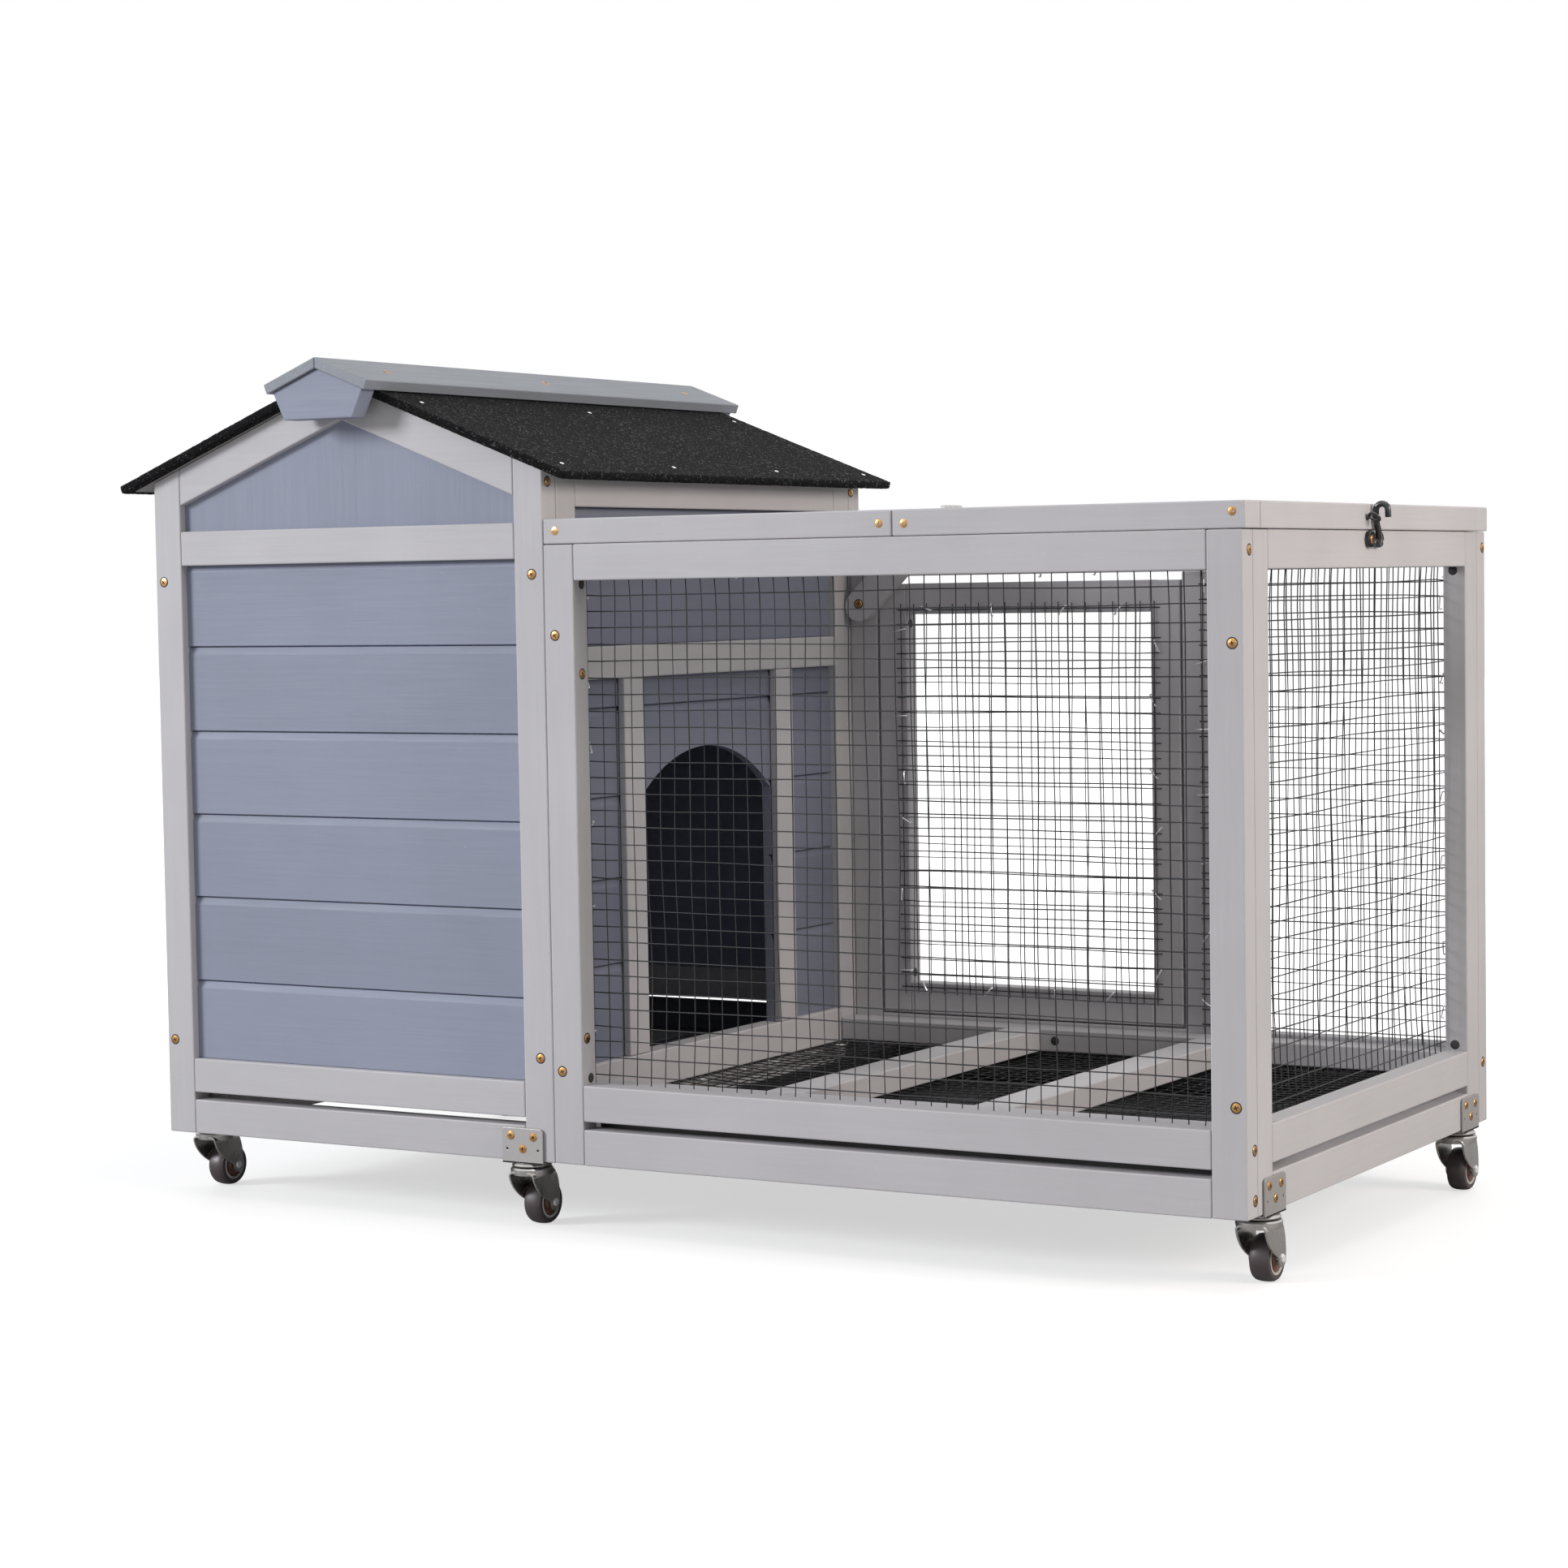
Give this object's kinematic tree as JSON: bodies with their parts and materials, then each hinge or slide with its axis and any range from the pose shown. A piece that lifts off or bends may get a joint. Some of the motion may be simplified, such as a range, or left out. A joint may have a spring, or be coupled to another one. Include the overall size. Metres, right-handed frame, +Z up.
{
  "type": "rabbit hutch",
  "caption": "Gabled timber rabbit house joined to a wire mesh run with a hinged lid, a rear door, slide-out trays and swivel casters.",
  "frame": {"origin": "bottom centre of the hutch, on the floor under the middle of its overall box", "axes": "+X along the hutch from the house to the run, +Y from front to back, +Z up"},
  "size_m": [1.0474, 0.584, 0.7093],
  "materials": {
    "frame_paint": "pale warm grey paint over planed softwood, satin-matt",
    "board_paint": "blue-grey paint over planed boards, satin-matt",
    "ridge_paint": "grey-blue paint over softwood, satin-matt",
    "roof_felt": "near-black mineral felt over a thin board",
    "wire_mesh": "black plastic-coated welded wire",
    "house_tray": "dark blue-grey plastic",
    "run_tray": "black plastic",
    "zinc_steel": "bright zinc-plated pressed steel",
    "black_steel": "gloss black coated steel",
    "wheel_tread": "dark brown-grey moulded tread, smooth",
    "wheel_hub": "brown moulded hub with a pale grey ring",
    "screw_brass": "yellow zinc-passivated cross-head screws",
    "staple_steel": "bright galvanised staples"
  },
  "bodies": {
    "hutch": {"house_front_frame": "frame_paint", "house_front_boards": "board_paint", "house_rear_frame": "frame_paint", "house_rear_boards": "board_paint", "house_left_frame": "frame_paint", "house_left_boards": "board_paint", "house_right_frame": "frame_paint", "house_right_boards": "board_paint", "roof_left": "roof_felt", "roof_right": "roof_felt", "ridge_cap_left": "ridge_paint", "ridge_cap_right": "ridge_paint", "ridge_block_front": "ridge_paint", "ridge_block_rear": "ridge_paint", "run_front_frame": "frame_paint", "run_front_mesh": "wire_mesh", "run_end_frame": "frame_paint", "run_end_mesh": "wire_mesh", "run_rear_frame": "frame_paint", "run_rear_mesh": "wire_mesh", "corner_brace": "frame_paint", "top_panel_frame": "frame_paint", "top_panel_mesh": "wire_mesh", "lid_front_hinge_fixed_leaf": "zinc_steel", "lid_rear_hinge_fixed_leaf": "zinc_steel", "door_lower_hinge_fixed_leaf": "zinc_steel", "door_upper_hinge_fixed_leaf": "zinc_steel", "latch_saddle": "black_steel", "floor_frame": "frame_paint", "floor_mesh": "wire_mesh", "caster_front_left_bracket": "zinc_steel", "caster_front_middle_bracket": "zinc_steel", "caster_front_right_bracket": "zinc_steel", "caster_rear_left_bracket": "zinc_steel", "caster_rear_middle_bracket": "zinc_steel", "caster_rear_right_bracket": "zinc_steel"},
    "lid": {"lid_frame": "frame_paint", "lid_mesh": "wire_mesh", "lid_front_hinge_moving_leaf": "zinc_steel", "lid_rear_hinge_moving_leaf": "zinc_steel"},
    "rear_door": {"door_frame": "frame_paint", "door_mesh": "wire_mesh", "door_lower_hinge_moving_leaf": "zinc_steel", "door_upper_hinge_moving_leaf": "zinc_steel"},
    "door_button": {"door_button": "frame_paint"},
    "latch_hook": {"latch_hook": "black_steel"},
    "house_tray": {"house_tray": "house_tray"},
    "run_tray": {"run_tray": "run_tray"},
    "caster_front_left_fork": {"caster_front_left_fork": "zinc_steel"},
    "caster_front_left_wheel": {"caster_front_left_wheel": "wheel_tread"},
    "caster_front_middle_fork": {"caster_front_middle_fork": "zinc_steel"},
    "caster_front_middle_wheel": {"caster_front_middle_wheel": "wheel_tread"},
    "caster_front_right_fork": {"caster_front_right_fork": "zinc_steel"},
    "caster_front_right_wheel": {"caster_front_right_wheel": "wheel_tread"},
    "caster_rear_left_fork": {"caster_rear_left_fork": "zinc_steel"},
    "caster_rear_left_wheel": {"caster_rear_left_wheel": "wheel_tread"},
    "caster_rear_middle_fork": {"caster_rear_middle_fork": "zinc_steel"},
    "caster_rear_middle_wheel": {"caster_rear_middle_wheel": "wheel_tread"},
    "caster_rear_right_fork": {"caster_rear_right_fork": "zinc_steel"},
    "caster_rear_right_wheel": {"caster_rear_right_wheel": "wheel_tread"}
  },
  "joints": [
    {"name": "lid_hinge", "type": "hinge", "parent": "hutch", "child": "lid", "pos_m": [0.22297, 0, 0.5751], "axis": [0, -1, 0], "range_deg": [0, 170]},
    {"name": "rear_door_hinge", "type": "hinge", "parent": "hutch", "child": "rear_door", "pos_m": [0.23737, 0.2623, 0.32], "axis": [0, 0, -1], "range_deg": [0, 175]},
    {"name": "door_button_turn", "type": "hinge", "parent": "hutch", "child": "door_button", "pos_m": [-0.07933, 0.2638, 0.3195], "axis": [0, 1, 0], "range_deg": [-90, 90]},
    {"name": "latch_hook_swing", "type": "hinge", "parent": "hutch", "child": "latch_hook", "pos_m": [0.51257, -0.004, 0.54525], "axis": [0, 1, 0], "range_deg": [0, 150]},
    {"name": "house_tray_slide", "type": "slide", "parent": "hutch", "child": "house_tray", "axis": [0, 1, 0], "range_m": [0, 0.48]},
    {"name": "run_tray_slide", "type": "slide", "parent": "hutch", "child": "run_tray", "axis": [0, 1, 0], "range_m": [0, 0.48]},
    {"name": "caster_front_left_swivel", "type": "hinge", "parent": "hutch", "child": "caster_front_left_fork", "pos_m": [-0.48263, -0.213, 0.045], "axis": [0, 0, 1], "continuous": true},
    {"name": "caster_front_left_roll", "type": "hinge", "parent": "caster_front_left_fork", "child": "caster_front_left_wheel", "pos_m": [-0.48263, -0.198, 0.01785], "axis": [1, 0, 0], "continuous": true},
    {"name": "caster_front_middle_swivel", "type": "hinge", "parent": "hutch", "child": "caster_front_middle_fork", "pos_m": [-0.12363, -0.249, 0.045], "axis": [0, 0, 1], "continuous": true},
    {"name": "caster_front_middle_roll", "type": "hinge", "parent": "caster_front_middle_fork", "child": "caster_front_middle_wheel", "pos_m": [-0.12363, -0.234, 0.01785], "axis": [1, 0, 0], "continuous": true},
    {"name": "caster_front_right_swivel", "type": "hinge", "parent": "hutch", "child": "caster_front_right_fork", "pos_m": [0.49537, -0.213, 0.045], "axis": [0, 0, 1], "continuous": true},
    {"name": "caster_front_right_roll", "type": "hinge", "parent": "caster_front_right_fork", "child": "caster_front_right_wheel", "pos_m": [0.49537, -0.198, 0.01785], "axis": [1, 0, 0], "continuous": true},
    {"name": "caster_rear_left_swivel", "type": "hinge", "parent": "hutch", "child": "caster_rear_left_fork", "pos_m": [-0.48263, 0.213, 0.045], "axis": [0, 0, 1], "continuous": true},
    {"name": "caster_rear_left_roll", "type": "hinge", "parent": "caster_rear_left_fork", "child": "caster_rear_left_wheel", "pos_m": [-0.48263, 0.228, 0.01785], "axis": [1, 0, 0], "continuous": true},
    {"name": "caster_rear_middle_swivel", "type": "hinge", "parent": "hutch", "child": "caster_rear_middle_fork", "pos_m": [-0.12363, 0.249, 0.045], "axis": [0, 0, 1], "continuous": true},
    {"name": "caster_rear_middle_roll", "type": "hinge", "parent": "caster_rear_middle_fork", "child": "caster_rear_middle_wheel", "pos_m": [-0.12363, 0.264, 0.01785], "axis": [1, 0, 0], "continuous": true},
    {"name": "caster_rear_right_swivel", "type": "hinge", "parent": "hutch", "child": "caster_rear_right_fork", "pos_m": [0.49537, 0.213, 0.045], "axis": [0, 0, 1], "continuous": true},
    {"name": "caster_rear_right_roll", "type": "hinge", "parent": "caster_rear_right_fork", "child": "caster_rear_right_wheel", "pos_m": [0.49537, 0.228, 0.01785], "axis": [1, 0, 0], "continuous": true}
  ]
}
